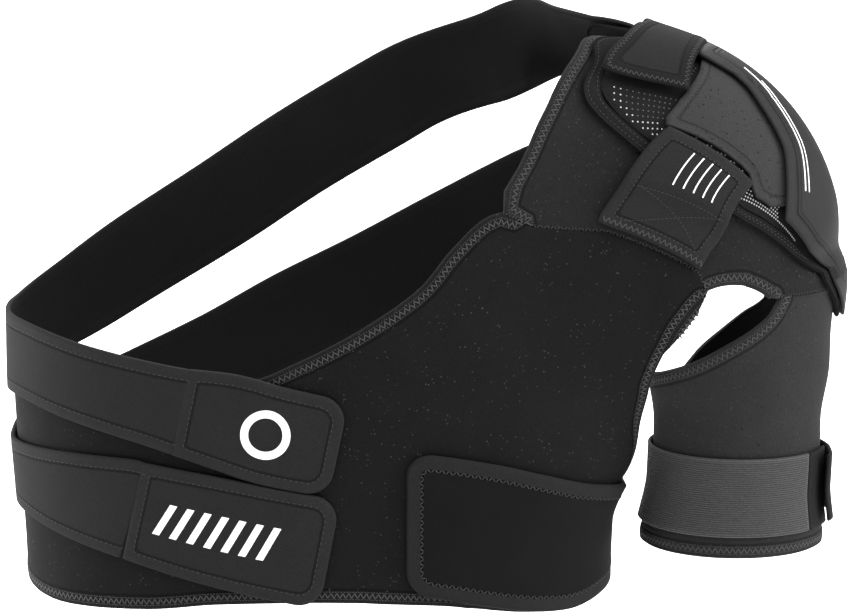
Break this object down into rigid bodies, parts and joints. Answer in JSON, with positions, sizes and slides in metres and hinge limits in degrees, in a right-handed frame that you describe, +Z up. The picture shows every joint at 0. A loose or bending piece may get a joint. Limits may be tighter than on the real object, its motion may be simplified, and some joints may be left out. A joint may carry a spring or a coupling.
{
  "type": "shoulder brace",
  "caption": "Neoprene brace for one shoulder: chest panel, padded cap with overlay and shell, arm sleeve with elastic closure, and straps round the torso.",
  "frame": {"origin": "the seat: the inside of the brace on top of the braced shoulder, where the shoulder carries it", "axes": "+Z up, the wearer faces -Y, the braced left arm is on the +X side"},
  "size_m": [0.466, 0.1978, 0.3207],
  "materials": {
    "panel_cloth": "matt knit over neoprene foam, near black",
    "yoke_cloth": "matt brushed knit over neoprene foam, near black",
    "sleeve_cloth": "smooth knit over neoprene foam, charcoal",
    "strap_cloth": "matt knit over neoprene foam, dark grey",
    "spacer_mesh": "open spacer mesh with pale dots",
    "binding": "smooth folded binding",
    "dotted_overlay": "smooth charcoal overlay with fine dots",
    "shell_cloth": "smooth coated cloth with a pale pinstripe",
    "elastic": "ribbed woven elastic",
    "hook_and_loop": "hook and loop fastener, black"
  },
  "bodies": {
    "root": {"chest_panel": "panel_cloth", "shoulder_yoke": "yoke_cloth", "torso_band": "panel_cloth", "side_tab": "strap_cloth", "upper_strap": "strap_cloth", "upper_strap_end": "strap_cloth", "lower_strap": "strap_cloth", "lower_strap_end": "strap_cloth", "pad_mesh": "spacer_mesh", "pad_binding": "binding", "cap_overlay": "dotted_overlay", "cap_shell": "shell_cloth", "top_keeper": "strap_cloth", "anchor_tab": "strap_cloth", "arm_sleeve": "sleeve_cloth", "sleeve_elastic": "elastic", "sleeve_loop_strip": "hook_and_loop", "sleeve_hook_tab": "hook_and_loop"}
  },
  "joints": []
}
